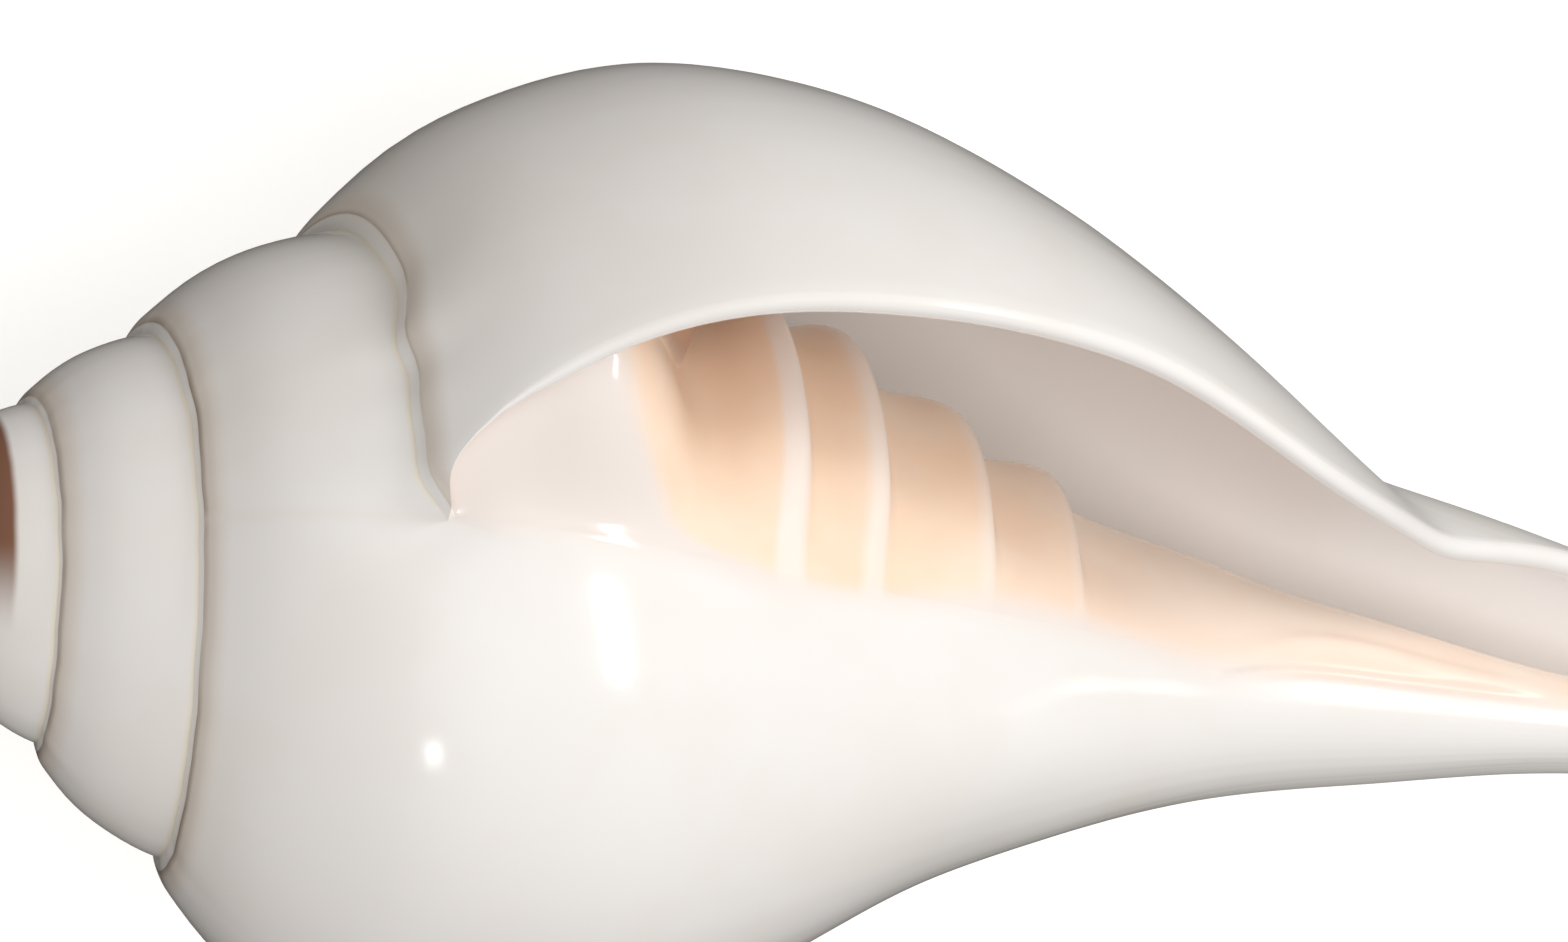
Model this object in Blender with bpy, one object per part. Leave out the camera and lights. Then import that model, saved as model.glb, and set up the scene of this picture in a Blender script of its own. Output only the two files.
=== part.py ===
"""A conch shell of the chank kind: heavy, pear-shaped and right-handed, lying on its back.

The shell is one wall that coils round an axis. Every whorl is the one before it made GROWTH times
larger, so the wall is worked out from one outline, drawn at the lip, and a growth angle. The
angle is 0 at the lip's upper corner and falls by a full turn for each whorl back to the apex.

Along the axis, height is counted from the point of the spire to the tip of the canal. Around the
axis, 0 degrees faces up and 90 degrees faces +Y. The shell rests on the ground at Z = 0 on the
back of its body whorl and on its canal, with its mouth upwards and its canal towards +X.
"""

import math

import bmesh
import bpy
import numpy as np

MM = 0.001
TURN = 360.0

# Growth, in millimetres and degrees
GROWTH = 1.548
SUTURE_HEIGHT = 39.4
TIP_HEIGHT = 153.0
LIP_CORNER_ANGLE = 12.6
SPIRE_TURNS = 4.5
APEX_HEIGHT = 1.4
RISER_WIDTH = 1.6

# The whorl at the lip, as height along the axis and radius
WHORL_OUTLINE = (
    (39.4, 31.2), (45, 37.2), (52, 42.0), (61, 45.6), (72, 46.4), (84, 44.4), (96, 39.4),
    (108, 32.0), (120, 22.9), (132, 13.6), (145, 3), (170, -12), (240, -40),
)
# The columella, midway between the crests and the troughs of its folds
COLUMELLA_OUTLINE = (
    (58, 28.0), (64, 27.0), (70, 25.2), (78, 21.9), (84, 18.9), (90, 16.2), (96, 13.8),
    (104, 10.8), (113, 8.2), (125, 6.0), (138, 3.8), (150, 3.0), (170, 2.2),
)
# The outside of the canal, on the side of the lip
CANAL_OUTLINE = (
    (58, 22.0), (85, 19.2), (100, 17.6), (112, 16.3), (124, 14.9), (138, 12.5), (148, 10.0),
    (154, 8.2), (170, 3),
)
CANAL_START_ANGLE = -285.0
CANAL_FULL_ANGLE = -60.0
CANAL_TOP = 66.0
COLUMELLA_FULL_ANGLE = 100.0
# How far the last part of the whorl flares out towards the lip and the canal
LIP_FLARE = (
    (84, 0.0), (92, 0.5), (98, 0.7), (104, 1.2), (112, 1.7), (128, 1.7), (138, 1.4), (153, 1.2),
)
FLARE_START_ANGLE = -165.0
FLARE_FULL_ANGLE = -80.0

# The lip's edge, as height along the axis and angle round it
LIP_EDGE = (
    (39.4, 12.6), (40.6, 18.0), (42.5, 23.0), (46, 27.4), (52, 31.4), (60, 33.8), (72, 35.6),
    (86, 37.8), (98, 39.0), (104, 38.2), (110, 39.0), (114, 41.5), (118, 46.5), (122, 54.0),
    (126, 62.0), (130, 69.5), (136, 79.0), (144, 87.0), (153, 91.0),
)
LIP_LEAN_ANGLE = 150.0
LIP_THICKNESS = 2.0
LIP_CORNER_TAPER = 9.0
WALL_THICKNESS = 4.4
CANAL_WALL_THICKNESS = 2.8

# Folds of the columella: height of the crest, height of the foot above it, depth of the step
FOLDS = ((69.3, 63.0, 2.5), (76.3, 70.7, 2.6), (86.0, 78.6, 2.4), (94.2, 87.8, 1.9))
FOLD_TROUGH = 1.4
FOLD_DROP = 1.1
FOLD_FRONT_ANGLE = 4.0
FOLD_FULL_ANGLE = -34.0

# The callus in the upper corner of the mouth, and the line where the mouth's two sides meet
CALLUS_FULL_HEIGHT = 50.0
CALLUS_END_HEIGHT = 65.0
CALLUS_BEHIND_LIP_ANGLE = 3.0
CALLUS_BELOW_RIM = 0.35
CORNER_LINE = (
    (-400, 49), (-180, 50), (-120, 54), (-60, 62.5), (-42, 64.0), (-31, 60.5), (-24, 55.2),
    (-19, 50.5), (-15, 46.6), (-11, 43.0), (-7, 40.6), (0, 39.4),
)
CORNER_ROUNDING = 10.0
FLOOR_ROUNDING = 8.0
LEAST_GAP = 1.0

# The pose at rest
CANAL_DROP_ANGLE = 19.6
REST_FLAT_DEPTH = 0.55

# Rows down the whorl and columns round it
COLUMNS_PER_TURN = 40
SPIRE_ROWS = np.array((0.0, 0.05, 0.13, 0.30, 0.52, 0.76, 1.0))
CALLUS_ROWS = 6
TAIL_ROWS = 8
MOUTH_STEPS = [4.0] * 11 + [8.0] * 7 + [16.0] * 8 + [33.0] * 4
RIM_ANGLES = (60.0, 120.0)


def ease(x):
    """0 below 0, 1 above 1, and a smooth rise between them."""
    x = np.clip(x, 0.0, 1.0)
    return x * x * (3.0 - 2.0 * x)


def soft_max(a, b, width):
    """The larger of a and b, with the corner between them rounded."""
    return 0.5 * (a + b + np.sqrt((a - b) ** 2 + width * width))


def smooth_curve(points):
    """A natural cubic spline through (x, y) points, as a function of x."""
    x = np.array([point[0] for point in points], float)
    y = np.array([point[1] for point in points], float)
    step = np.diff(x)
    slope = np.diff(y) / step
    system = np.eye(len(x))
    right = np.zeros(len(x))
    for i in range(1, len(x) - 1):
        system[i, i - 1 : i + 2] = step[i - 1], 2 * (step[i - 1] + step[i]), step[i]
        right[i] = 6 * (slope[i] - slope[i - 1])
    bend = np.linalg.solve(system, right)

    def curve(at):
        at = np.clip(np.asarray(at, float), x[0], x[-1])
        i = np.clip(np.searchsorted(x, at) - 1, 0, len(x) - 2)
        a = (x[i + 1] - at) / step[i]
        b = 1.0 - a
        cubic = (a**3 - a) * bend[i] + (b**3 - b) * bend[i + 1]
        return a * y[i] + b * y[i + 1] + cubic * step[i] ** 2 / 6

    return curve


whorl_curve = smooth_curve(WHORL_OUTLINE)
columella_curve = smooth_curve(COLUMELLA_OUTLINE)
canal_curve = smooth_curve(CANAL_OUTLINE)
flare_curve = smooth_curve(LIP_FLARE)
lip_curve = smooth_curve(LIP_EDGE)
corner_curve = smooth_curve(CORNER_LINE)


def growth(angle):
    """How large the shell is at a growth angle, against its size at the lip."""
    return GROWTH ** (np.asarray(angle, float) / TURN)


def columella_scale(angle):
    """The columella keeps its size for the last part of a turn inside the mouth, then shrinks."""
    return growth(np.minimum(np.asarray(angle, float) + TURN + COLUMELLA_FULL_ANGLE, 0.0))


def whorl_radius(height):
    """The whorl's outline, with the small riser where it laps over the whorl before it."""
    covered = whorl_curve(SUTURE_HEIGHT * GROWTH) / GROWTH
    riser = whorl_curve(SUTURE_HEIGHT) - covered
    return whorl_curve(height) - riser * (1.0 - ease((height - SUTURE_HEIGHT) / RISER_WIDTH))


def outer_radius(angle, height):
    """The outside of the wall, which is also the side of the next whorl's mouth."""
    size = growth(angle)
    whorl = size * whorl_radius(height / size)
    scale = columella_scale(angle)
    core = scale * columella_curve(height / scale)
    opened = ease((angle - CANAL_START_ANGLE) / (CANAL_FULL_ANGLE - CANAL_START_ANGLE))
    canal = core + (canal_curve(height) - core) * opened
    canal = canal - 14.0 * ease((CANAL_TOP * scale - height) / 20.0)
    flared = ease((angle - FLARE_START_ANGLE) / (FLARE_FULL_ANGLE - FLARE_START_ANGLE))
    return soft_max(whorl, canal, 2.5 * size) + flare_curve(height) * flared


def fold_relief(angle, height):
    """How far the folds rise above the columella's mean surface, or fall below it."""
    scale = columella_scale(angle)
    height = height / scale
    relief = np.zeros_like(height)
    for crest, foot, step in FOLDS:
        rise = ease((height - foot) / (crest - foot))
        drop = ease((height - crest) / FOLD_DROP)
        relief = relief + step * rise * (1.0 - drop)
    zone_start = ease((height - FOLDS[0][1]) / 6.0 + 1.0)
    zone_end = ease((height - FOLDS[-1][0] - FOLD_DROP) / 14.0)
    relief = relief - FOLD_TROUGH * zone_start * (1.0 - zone_end)
    inside = ease((FOLD_FRONT_ANGLE - angle - TURN) / (FOLD_FRONT_ANGLE - FOLD_FULL_ANGLE))
    return relief * inside * scale


def rim_depth(height):
    """The wall's thickness at the lip's edge, which thins to nothing at its upper corner."""
    return LIP_THICKNESS * ease((height - SUTURE_HEIGHT) / LIP_CORNER_TAPER)


def inner_radius(angle, height):
    """The mouth's side towards the axis: callus at its upper end, then the folded columella."""
    before = angle - TURN
    base = outer_radius(before, height) + fold_relief(before, height)
    at_lip = np.clip(height / growth(angle), SUTURE_HEIGHT, TIP_HEIGHT)
    callus_fall = (at_lip - CALLUS_FULL_HEIGHT) / (CALLUS_END_HEIGHT - CALLUS_FULL_HEIGHT)
    behind_lip = lip_curve(at_lip) - LIP_CORNER_ANGLE + CALLUS_BEHIND_LIP_ANGLE
    callus = (1.0 - ease(callus_fall)) * ease(-angle / behind_lip)
    full = outer_radius(angle, height) - rim_depth(at_lip) - CALLUS_BELOW_RIM
    return base + np.maximum(full - base, 0.0) * callus


def mouth_gap(angle, height):
    """How far the mouth is open between its two sides, and below 0 where they would cross."""
    thin = ease((height - 95.0) / 35.0)
    wall = (WALL_THICKNESS + (CANAL_WALL_THICKNESS - WALL_THICKNESS) * thin) * growth(angle)
    return outer_radius(angle, height) - wall - inner_radius(angle, height)


def corner_height(angle):
    """Where the mouth's two sides meet at its upper end."""
    return float(corner_curve(angle) * growth(angle))


def floor_height(angle):
    """Where the mouth's two sides meet at its lower end, or the tip where the canal is open."""
    if mouth_gap(angle, np.array(TIP_HEIGHT)) > LEAST_GAP:
        return TIP_HEIGHT
    low = FOLDS[-1][0] * float(columella_scale(angle - TURN))
    high = TIP_HEIGHT
    for _ in range(30):
        middle = 0.5 * (low + high)
        if mouth_gap(angle, np.array(middle)) > LEAST_GAP:
            low = middle
        else:
            high = middle
    return low


def place(angle, height, radius):
    """Points in the pose at rest, in millimetres from the point of the spire."""
    turn = np.radians(LIP_CORNER_ANGLE - angle)
    height, radius, turn = np.broadcast_arrays(height, radius, turn)
    drop = math.radians(CANAL_DROP_ANGLE)
    along = np.array([math.cos(drop), 0.0, -math.sin(drop)])
    front = np.array([math.sin(drop), 0.0, math.cos(drop)])
    side = np.array([0.0, 1.0, 0.0])
    return (
        height[..., None] * along
        + (radius * np.cos(turn))[..., None] * front
        + (radius * np.sin(turn))[..., None] * side
    )


def mouth_rows(angle, top, bottom):
    """Heights of rows down the columella, with a row on the foot and the crest of each fold."""
    folds = []
    for crest, foot, _ in FOLDS:
        folds += [foot, 0.5 * (foot + crest), crest - 0.9, crest]
    folds.append(FOLDS[-1][0] + FOLD_DROP)
    folds = np.array(folds) * columella_scale(angle - TURN)
    above = np.linspace(top, folds[0], CALLUS_ROWS + 1)[:-1]
    below = np.linspace(folds[-1], bottom, TAIL_ROWS + 1)[1:]
    return np.concatenate([above, folds, below])


def spire_rows(angle):
    """Heights of rows down a whorl, from its own suture to the next one."""
    return SUTURE_HEIGHT * growth(angle) * (1.0 + (GROWTH - 1.0) * SPIRE_ROWS)


def body_rows(angle):
    """Heights of rows down the body whorl: fold rows under the mouth, and even ones at the lip."""
    top = spire_rows(angle)
    below_mouth = mouth_rows(0.0, SUTURE_HEIGHT, TIP_HEIGHT)
    share = (below_mouth - below_mouth[0]) / (below_mouth[-1] - below_mouth[0])
    even = np.linspace(0.0, 1.0, len(share))
    share = share + (even - share) * 0.75 * ease((angle + TURN) / TURN)
    return np.concatenate([top[:-1], top[-1] + (TIP_HEIGHT - top[-1]) * share])


def leaned(angle, lip_lean):
    """Growth angles down a column: near the lip the columns lean back to the lip's edge."""
    return angle + lip_lean * max(0.0, 1.0 + angle / LIP_LEAN_ANGLE)


def pinch(distance, rounding):
    """0 where the mouth's two sides meet and 1 away from there, with a round bottom between."""
    near = np.clip(distance / rounding, 0.0, 1.0)
    return np.sqrt(1.0 - (1.0 - near) ** 2)


class Wall:
    """Points and faces of the shell. A column is a list of point numbers down the wall."""

    def __init__(self):
        self.mesh = bmesh.new()
        self.points = []

    def column(self, coordinates):
        first = len(self.points)
        self.points += [self.mesh.verts.new(point * MM) for point in coordinates]
        return np.arange(first, len(self.points))

    def face(self, numbers):
        distinct = [n for i, n in enumerate(numbers) if n != numbers[i - 1]]
        if len(distinct) > 2:
            self.mesh.faces.new([self.points[n] for n in distinct])

    def skin(self, columns):
        """Faces between neighbouring columns of the same length."""
        for one, other in zip(columns, columns[1:]):
            for j in range(len(one) - 1):
                self.face((one[j], one[j + 1], other[j + 1], other[j]))


def add_spire_and_body(wall):
    """The outside: the spire's columns and the body whorl's, sharing points along the suture."""
    step = TURN / COLUMNS_PER_TURN
    spire_count = int(SPIRE_TURNS * COLUMNS_PER_TURN)
    columns = []
    for i in range(spire_count):
        angle = -TURN - (spire_count - i) * step
        heights = spire_rows(angle)
        columns.append(wall.column(place(angle, heights, outer_radius(angle, heights))))
    lip_lean = LIP_CORNER_ANGLE - lip_curve(body_rows(0.0))
    for i in range(COLUMNS_PER_TURN + 1):
        angle = -TURN + i * step
        heights = body_rows(angle)
        angles = leaned(angle, lip_lean)
        columns.append(wall.column(place(angles, heights, outer_radius(angles, heights))))
    suture_row = len(SPIRE_ROWS) - 1
    for before, after in zip(columns, columns[COLUMNS_PER_TURN:]):
        after[0] = before[suture_row]
    spire = [column[: suture_row + 1] for column in columns[: spire_count + 1]]
    wall.skin(spire)
    wall.skin(columns[spire_count:])
    return spire, columns[spire_count:]


def close_apex(wall, spire):
    """A blunt dome over the open end of the first whorl."""
    edge = [column[0] for column in spire[: COLUMNS_PER_TURN + 1]]
    edge += list(spire[0][1:-1][::-1])
    apex = place(0.0, np.array(APEX_HEIGHT), np.array(0.0))
    edge_points = np.array([wall.points[n].co for n in edge]) / MM
    dome = wall.column(0.6 * edge_points + 0.4 * apex - place(0.0, np.array(0.3), np.array(0.0)))
    tip = wall.column(apex[None])[0]
    for i in range(len(edge)):
        wall.face((edge[i - 1], edge[i], dome[i], dome[i - 1]))
        wall.face((dome[i - 1], dome[i], tip))


def add_mouth(wall, body):
    """The inside: the columella's side and the outer wall's side, back from the lip."""
    suture_row = len(SPIRE_ROWS) - 1
    heights_at_lip = body_rows(0.0)
    lip_lean = LIP_CORNER_ANGLE - lip_curve(heights_at_lip)
    share = (heights_at_lip - heights_at_lip[0]) / (heights_at_lip[-1] - heights_at_lip[0])
    angles = -np.concatenate([[0.0], np.cumsum(MOUTH_STEPS)])
    floors = [floor_height(angle) for angle in angles]
    closed_from = next(k for k, floor in enumerate(floors) if floor < TIP_HEIGHT)
    inner = [body[0][suture_row:]]
    outer = []
    for k, angle in enumerate(angles):
        top = corner_height(angle)
        if k > 0:
            rows = mouth_rows(angle, top, floors[k])
            inner.append(wall.column(place(angle, rows, inner_radius(angle, rows))))
        rows = top + (floors[k] - top) * share
        leaning = leaned(angle, lip_lean)
        inside = inner_radius(leaning, rows)
        open_floor = ease((closed_from - k) / 4.0)
        floor_pinch = pinch(floors[k] - rows, FLOOR_ROUNDING)
        opening = pinch(rows - top, CORNER_ROUNDING)
        opening = opening * (floor_pinch + (1.0 - floor_pinch) * open_floor)
        radius = inside + soft_max(mouth_gap(leaning, rows), 0.0, 0.8) * opening
        if k == 0:
            radius = outer_radius(leaning, rows) - rim_depth(rows)
        column = wall.column(place(leaning, rows, radius))
        column[0] = inner[k][0]
        if k >= closed_from:
            column[-1] = inner[k][-1]
        outer.append(column)
    wall.skin(inner)
    wall.skin(outer)
    return outer[0]


def add_lip(wall, outside, inside):
    """The lip's round edge, from the wall's outside to its inside."""
    heights = body_rows(0.0)
    angles = LIP_CORNER_ANGLE - lip_curve(heights)
    radius = outer_radius(angles, heights)
    depth = rim_depth(heights)
    columns = [outside]
    for rim_angle in RIM_ANGLES:
        forward = 0.5 * depth * math.sin(math.radians(rim_angle))
        down = 0.5 * depth * (1.0 - math.cos(math.radians(rim_angle)))
        column = wall.column(place(angles + np.degrees(forward / radius), heights, radius - down))
        column[0] = outside[0]
        columns.append(column)
    columns.append(inside)
    wall.skin(columns)


def close_and_rest(mesh):
    """Fills the canal's end and the deep end of the hollow, then rubs flat what touches down."""
    bmesh.ops.delete(mesh, geom=[v for v in mesh.verts if not v.link_faces], context="VERTS")
    ends = bmesh.ops.holes_fill(mesh, edges=[e for e in mesh.edges if e.is_boundary], sides=0)
    bmesh.ops.triangulate(mesh, faces=ends["faces"], ngon_method="BEAUTY")
    bmesh.ops.recalc_face_normals(mesh, faces=mesh.faces)
    ground = min(v.co.z for v in mesh.verts) + REST_FLAT_DEPTH * MM
    everything = list(mesh.verts) + list(mesh.edges) + list(mesh.faces)
    bmesh.ops.bisect_plane(
        mesh, geom=everything, plane_co=(0, 0, ground), plane_no=(0, 0, -1), clear_outer=True
    )
    flats = bmesh.ops.holes_fill(mesh, edges=[e for e in mesh.edges if e.is_boundary], sides=0)
    bmesh.ops.triangulate(mesh, faces=flats["faces"])
    low = np.min([v.co for v in mesh.verts], axis=0)
    high = np.max([v.co for v in mesh.verts], axis=0)
    middle = 0.5 * (low + high)
    bmesh.ops.translate(mesh, verts=mesh.verts, vec=(-middle[0], -middle[1], -low[2]))


def shell_material():
    """Polished, cream-white shell."""
    material = bpy.data.materials.new("polished_shell")
    material.use_nodes = True
    surface = material.node_tree.nodes["Principled BSDF"]
    surface.inputs["Base Color"].default_value = (0.80, 0.77, 0.73, 1.0)
    surface.inputs["Roughness"].default_value = 0.25
    surface.inputs["Metallic"].default_value = 0.0
    return material


def make_shell(collection):
    wall = Wall()
    spire, body = add_spire_and_body(wall)
    close_apex(wall, spire)
    inside = add_mouth(wall, body)
    add_lip(wall, body[-1], inside)
    close_and_rest(wall.mesh)
    mesh = bpy.data.meshes.new("shell")
    wall.mesh.to_mesh(mesh)
    wall.mesh.free()
    mesh.materials.append(shell_material())
    mesh.shade_smooth()
    mesh.set_sharp_from_angle(angle=math.radians(40.0))
    collection.objects.link(bpy.data.objects.new("shell", mesh))


for item in list(bpy.data.objects):
    bpy.data.objects.remove(item)
shell_collection = bpy.data.collections.new("conch_shell")
bpy.context.scene.collection.children.link(shell_collection)
make_shell(shell_collection)
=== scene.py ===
"""A polished white chank shell lying on its back on a pale table, seen from above.

The shell is one coiled wall, so the sections follow the way it is built up: the outline of a
whorl, the columella and its folds, the inner lip, the mouth, the unrolled wall, the coil, the
polished surface and the finished shell. Lengths are in millimetres, angles in degrees.
"""

import math

import bmesh
import bpy
import numpy as np
from mathutils import Matrix, Vector


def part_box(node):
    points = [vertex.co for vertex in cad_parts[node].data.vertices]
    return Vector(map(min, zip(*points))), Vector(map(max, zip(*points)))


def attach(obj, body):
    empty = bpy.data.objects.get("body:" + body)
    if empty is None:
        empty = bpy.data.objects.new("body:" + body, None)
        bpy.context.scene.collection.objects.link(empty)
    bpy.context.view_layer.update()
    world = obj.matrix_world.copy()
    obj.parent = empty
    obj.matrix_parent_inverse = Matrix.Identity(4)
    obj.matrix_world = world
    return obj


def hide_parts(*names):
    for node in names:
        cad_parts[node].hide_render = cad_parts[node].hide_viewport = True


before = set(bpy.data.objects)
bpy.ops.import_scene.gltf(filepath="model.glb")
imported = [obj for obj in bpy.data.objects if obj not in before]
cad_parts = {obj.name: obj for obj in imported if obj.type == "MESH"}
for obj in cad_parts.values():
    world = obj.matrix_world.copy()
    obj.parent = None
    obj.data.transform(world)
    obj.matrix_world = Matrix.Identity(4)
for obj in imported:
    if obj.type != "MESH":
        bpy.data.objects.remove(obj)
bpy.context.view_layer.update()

MM = 0.001


# Camera
# A long lens looks almost straight down at the mouth, four degrees off towards the canal. It is
# rolled almost seven degrees, so that the canal points right and a little down. Metres here.

VIEW_TARGET = (-0.00386, 0.00847, 0.03188)
VIEW_DISTANCE = 0.49985
VIEW_TILT = 4.0
VIEW_ROLL = 6.6
FILM_WIDTH_MM = 36.0
LENS_MM = 149.2

tilted = Matrix.Rotation(math.radians(VIEW_TILT), 4, "Y")
rolled = Matrix.Rotation(math.radians(VIEW_ROLL), 4, "Z")
photo_frame = tilted @ rolled
lens = bpy.data.cameras.new("photo_lens")
lens.sensor_width = FILM_WIDTH_MM
lens.lens = LENS_MM
lens.clip_start = 0.01
lens.clip_end = 50.0
camera = bpy.data.objects.new("photo_camera", lens)
pulled_back = Matrix.Translation((0, 0, VIEW_DISTANCE))
camera.matrix_world = Matrix.Translation(VIEW_TARGET) @ photo_frame @ pulled_back
bpy.context.scene.collection.objects.link(camera)
bpy.context.scene.camera = camera
bpy.context.scene.view_settings.view_transform = "Standard"


# Table top
# A smooth sheet of matt white board, much larger than the shell. A faint glow of its own stands
# for the lights that a studio points at its backdrop, so it stays an even pale white.

TABLE_WIDTH = 14.0
TABLE_WHITE = "F6F6F5"
TABLE_ROUGHNESS = 0.9
TABLE_SHEEN = 0.1
TABLE_GLOW = 0.46
GLOW_WHITE = "FFFFFF"


def linear(hex_colour):
    """An sRGB hex colour as linear red, green, blue and alpha."""
    channels = [int(hex_colour[i : i + 2], 16) / 255.0 for i in (0, 2, 4)]
    return [c / 12.92 if c <= 0.04045 else ((c + 0.055) / 1.055) ** 2.4 for c in channels] + [1.0]


table_mesh = bpy.data.meshes.new("table_top")
half = 0.5 * TABLE_WIDTH
table_corners = [(-half, -half, 0), (half, -half, 0), (half, half, 0), (-half, half, 0)]
table_mesh.from_pydata(table_corners, [], [(0, 1, 2, 3)])
table = bpy.data.objects.new("table_top", table_mesh)
bpy.context.scene.collection.objects.link(table)
board = bpy.data.materials.new("matt_white_board")
board.use_nodes = True
board.cycles.emission_sampling = "NONE"
board_surface = board.node_tree.nodes["Principled BSDF"]
board_surface.inputs["Base Color"].default_value = linear(TABLE_WHITE)
board_surface.inputs["Roughness"].default_value = TABLE_ROUGHNESS
board_surface.inputs["Specular IOR Level"].default_value = TABLE_SHEEN
board_surface.inputs["Emission Color"].default_value = linear(GLOW_WHITE)
board_surface.inputs["Emission Strength"].default_value = TABLE_GLOW
table_mesh.materials.append(board)
table.visible_glossy = False
table.visible_diffuse = False


# Studio lights
# A softbox hangs beside the lens and a second one low beyond the canal, in a room of faint warm
# white. They light the shell evenly and don't mirror in it. Three small lamps give the polish its
# few crisp reflections and light nothing else. Each is a direction, a distance, a size and a power.

SOFTBOX = ((0.30, -0.22, 0.92), 0.9, (0.55, 0.55), 3.5)
FILL_BOX = ((0.82, 0.42, 0.38), 0.9, (0.45, 0.45), 3.2)
GLINTS = (
    ((0.834, 0.015, 0.551), 0.6, (0.24, 0.05), 0.9),
    ((0.004, -0.575, 0.818), 0.6, (0.06, 0.05), 0.14),
    ((0.950, -0.260, 0.200), 0.143, (0.010, 0.004), 0.0011),
)
SKY_BRIGHTNESS = 0.46
SKY_WARM_WHITE = "FFFAF5"


def add_lamp(name, direction, distance, size, power):
    """A rectangular lamp aimed at the shell from a direction in the photo's frame."""
    lamp = bpy.data.lights.new(name, "AREA")
    lamp.shape = "RECTANGLE"
    lamp.size, lamp.size_y = size
    lamp.energy = power
    place = Vector(VIEW_TARGET) + photo_frame.to_3x3() @ Vector(direction).normalized() * distance
    holder = bpy.data.objects.new(name, lamp)
    towards = (place - Vector(VIEW_TARGET)).to_track_quat("Z", "Y")
    holder.matrix_world = Matrix.Translation(place) @ towards.to_matrix().to_4x4()
    bpy.context.scene.collection.objects.link(holder)
    return holder


for name, box in (("softbox", SOFTBOX), ("fill_box", FILL_BOX)):
    lamp = add_lamp(name, *box)
    lamp.visible_glossy = False
for number, glint in enumerate(GLINTS):
    lamp = add_lamp("glint_lamp_%d" % (number + 1), *glint)
    lamp.visible_diffuse = False
sky = bpy.data.worlds.new("white_room")
bpy.context.scene.world = sky
sky.use_nodes = True
sky.node_tree.nodes["Background"].inputs["Color"].default_value = linear(SKY_WARM_WHITE)
sky.node_tree.nodes["Background"].inputs["Strength"].default_value = SKY_BRIGHTNESS
sky.cycles_visibility.glossy = False


# The whorl's outline
# The shell is aragonite, laid down by the animal as one wall that coils round an axis. Every whorl
# is the one before it times GROWTH, so the wall comes from one outline at the lip and an angle.
# The angle is 0 at the lip's upper corner and falls by a full turn for each whorl back to the apex.
# Outlines are heights along the axis from the apex, with the radius there, for the whorl at the lip.

TURN = 360.0
GROWTH = 1.548
SUTURE_HEIGHT = 39.4
TIP_HEIGHT = 153.0
LIP_CORNER_ANGLE = 12.6
RISER_WIDTH = 1.6
WHORL_OUTLINE = (
    (39.4, 31.2), (45, 37.2), (52, 42.0), (61, 45.6), (72, 46.4), (84, 44.4), (96, 39.4),
    (108, 32.0), (120, 22.9), (132, 13.6), (145, 3), (170, -12), (240, -40),
)
CANAL_OUTLINE = (
    (58, 22.0), (85, 19.2), (100, 17.6), (112, 16.3), (124, 14.9), (138, 12.5), (148, 10.0),
    (154, 8.2), (170, 3),
)
CANAL_START_ANGLE = -285.0
CANAL_FULL_ANGLE = -60.0
CANAL_TOP = 66.0
CANAL_SINK = 14.0
CANAL_SINK_OVER = 20.0
CANAL_SINK_OVER_IN_FRONT = 30.0
SHOULDER_ROUNDING = 2.5
SHOULDER_ROUNDING_IN_FRONT = 1.5
LIP_FLARE = (
    (60, 0.0), (68, 0.0), (76, 0.0), (84, 0.05), (92, 0.45), (98, 0.75), (104, 1.2), (112, 1.7),
    (128, 1.7), (138, 1.4), (153, 1.2),
)
FLARE_START_ANGLE = -165.0
FLARE_FULL_ANGLE = -80.0


def ease(x):
    """0 below 0, 1 above 1, and a smooth rise between them."""
    x = np.clip(x, 0.0, 1.0)
    return x * x * (3.0 - 2.0 * x)


def bump(x):
    """1 at 0, falling smoothly to nothing on both sides within about 2."""
    return np.exp(-np.asarray(x, float) ** 2)


def soft_max(a, b, width):
    """The larger of a and b, with the corner between them rounded."""
    return 0.5 * (a + b + np.sqrt((a - b) ** 2 + width * width))


def smooth_curve(points):
    """A natural cubic spline through (x, y) points, as a function of x."""
    x = np.array([point[0] for point in points], float)
    y = np.array([point[1] for point in points], float)
    step = np.diff(x)
    slope = np.diff(y) / step
    system = np.eye(len(x))
    right = np.zeros(len(x))
    for i in range(1, len(x) - 1):
        system[i, i - 1 : i + 2] = step[i - 1], 2 * (step[i - 1] + step[i]), step[i]
        right[i] = 6 * (slope[i] - slope[i - 1])
    bend = np.linalg.solve(system, right)

    def curve(at):
        at = np.clip(np.asarray(at, float), x[0], x[-1])
        i = np.clip(np.searchsorted(x, at) - 1, 0, len(x) - 2)
        a = (x[i + 1] - at) / step[i]
        b = 1.0 - a
        cubic = (a**3 - a) * bend[i] + (b**3 - b) * bend[i + 1]
        return a * y[i] + b * y[i + 1] + cubic * step[i] ** 2 / 6

    return curve


whorl_curve = smooth_curve(WHORL_OUTLINE)
canal_curve = smooth_curve(CANAL_OUTLINE)
flare_curve = smooth_curve(LIP_FLARE)


def growth(angle):
    """How large the shell is at a growth angle, against its size at the lip."""
    return GROWTH ** (np.asarray(angle, float) / TURN)


def pinch(distance, rounding):
    """0 at no distance and 1 from the rounding on, along a quarter of a circle."""
    near = np.clip(distance / rounding, 0.0, 1.0)
    return np.sqrt(1.0 - (1.0 - near) ** 2)


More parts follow.
